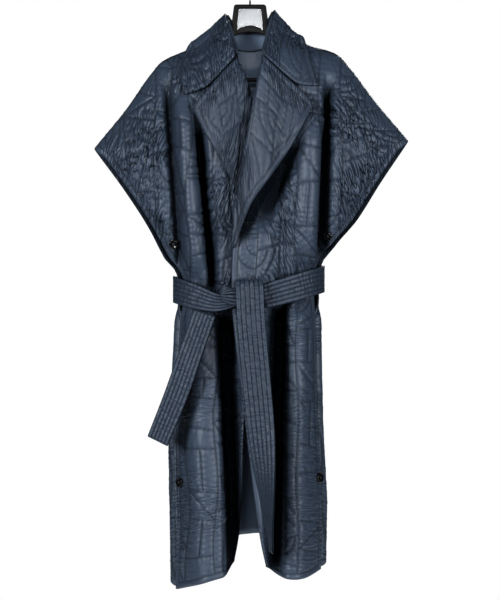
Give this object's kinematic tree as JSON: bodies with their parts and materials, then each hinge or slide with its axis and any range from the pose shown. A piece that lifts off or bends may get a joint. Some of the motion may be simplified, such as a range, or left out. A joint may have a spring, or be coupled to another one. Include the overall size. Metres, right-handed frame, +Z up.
{
  "type": "quilted poncho on a hanger",
  "caption": "Long navy quilted poncho coat with notched lapels, wing sleeves, open sides and a tie belt, hanging on a black plastic hanger.",
  "frame": {"origin": "where a rail touches the inside of the hanger's hook", "axes": "+Z up, -Y out of the coat's front, +X towards the coat's own left side"},
  "size_m": [0.6613, 0.2605, 1.2874],
  "materials": {
    "quilted_nylon": "satin quilted nylon",
    "lining": "satin lining",
    "button_plastic": "gloss",
    "black_plastic": "satin",
    "clear_plate": "clear plastic",
    "hook_steel": "polished"
  },
  "bodies": {
    "root": {"front_right": "quilted_nylon", "front_left": "quilted_nylon", "back": "quilted_nylon", "lapel_right": "quilted_nylon", "lapel_left": "quilted_nylon", "collar": "quilted_nylon", "collar_stand": "lining", "belt_round": "quilted_nylon", "belt_knot": "quilted_nylon", "belt_tail_long": "quilted_nylon", "belt_tail_short": "quilted_nylon", "button_right_upper": "button_plastic", "button_right_lower": "button_plastic", "button_left_upper": "button_plastic", "button_left_lower": "button_plastic", "hanger_body": "black_plastic", "hanger_plate": "clear_plate", "hanger_hook": "hook_steel"}
  },
  "joints": []
}
